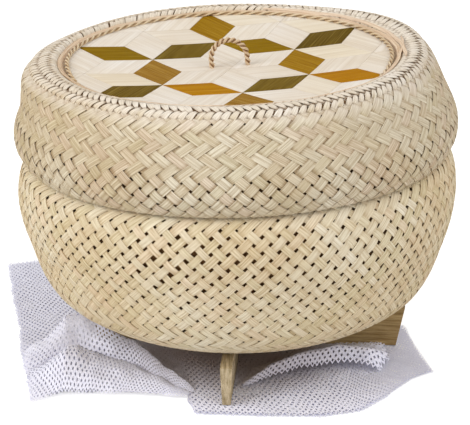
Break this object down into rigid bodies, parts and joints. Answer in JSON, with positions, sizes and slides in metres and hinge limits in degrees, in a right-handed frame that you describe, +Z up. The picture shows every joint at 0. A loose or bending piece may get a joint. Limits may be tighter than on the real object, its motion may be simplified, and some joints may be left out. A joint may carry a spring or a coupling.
{
  "type": "sticky rice steamer basket",
  "caption": "Round double-walled woven basket with flared lid, plaited star panel, twisted loop handle, crossed slat feet and a folded net liner.",
  "frame": {"origin": "on the floor under the basket axis, at the flat underside of the folded net", "axes": "+Z up along the basket axis, +X to the right and -Y towards the viewer of the picture"},
  "size_m": [0.2187, 0.209, 0.1507],
  "materials": {
    "straw": "split bamboo weave, matt with a faint sheen",
    "straw_inner": "split bamboo weave, matt",
    "ivory": "wide shaved bamboo strips, satin",
    "cane": "twisted cane, satin",
    "hoop_bamboo": "split bamboo hoop",
    "slat_bamboo": "sawn bamboo slat, long grain",
    "net_white": "white knitted net",
    "dye_olive": "dyed shaved bamboo, satin",
    "dye_ochre": "dyed shaved bamboo, satin",
    "dye_dark_olive": "dyed shaved bamboo, satin",
    "dye_tan": "dyed shaved bamboo, satin"
  },
  "bodies": {
    "net": {"net_liner": "net_white"},
    "basket": {"base_slat_front_back": "slat_bamboo", "base_slat_left_right": "slat_bamboo", "base_lashing_right": "cane", "base_lashing_back": "cane", "base_lashing_left": "cane", "base_lashing_front": "cane", "body_outer_wall": "straw", "body_inner_wall": "straw_inner", "body_rim_hoop": "hoop_bamboo"},
    "lid": {"lid_outer_wall": "straw", "lid_inner_wall": "straw_inner", "lid_lip_hoop": "hoop_bamboo", "top_panel": "ivory", "dyed_strip_olive_back": "dye_olive", "dyed_strip_ochre_front": "dye_ochre", "dyed_strip_dark_left": "dye_dark_olive", "dyed_strip_dark_right": "dye_dark_olive", "dyed_strip_gold_back": "dye_olive", "dyed_strip_tan_front": "dye_tan", "panel_border_braid": "cane", "panel_binding": "cane", "handle_strand_a": "cane", "handle_strand_b": "cane", "handle_knot_left": "cane", "handle_knot_right": "cane"}
  },
  "joints": [
    {"name": "basket_lift", "type": "slide", "parent": "net", "child": "basket", "axis": [0, 0, 1], "range_m": [0, 0.06]},
    {"name": "lid_lift", "type": "slide", "parent": "basket", "child": "lid", "axis": [0, 0, 1], "range_m": [0, 0.09]}
  ]
}
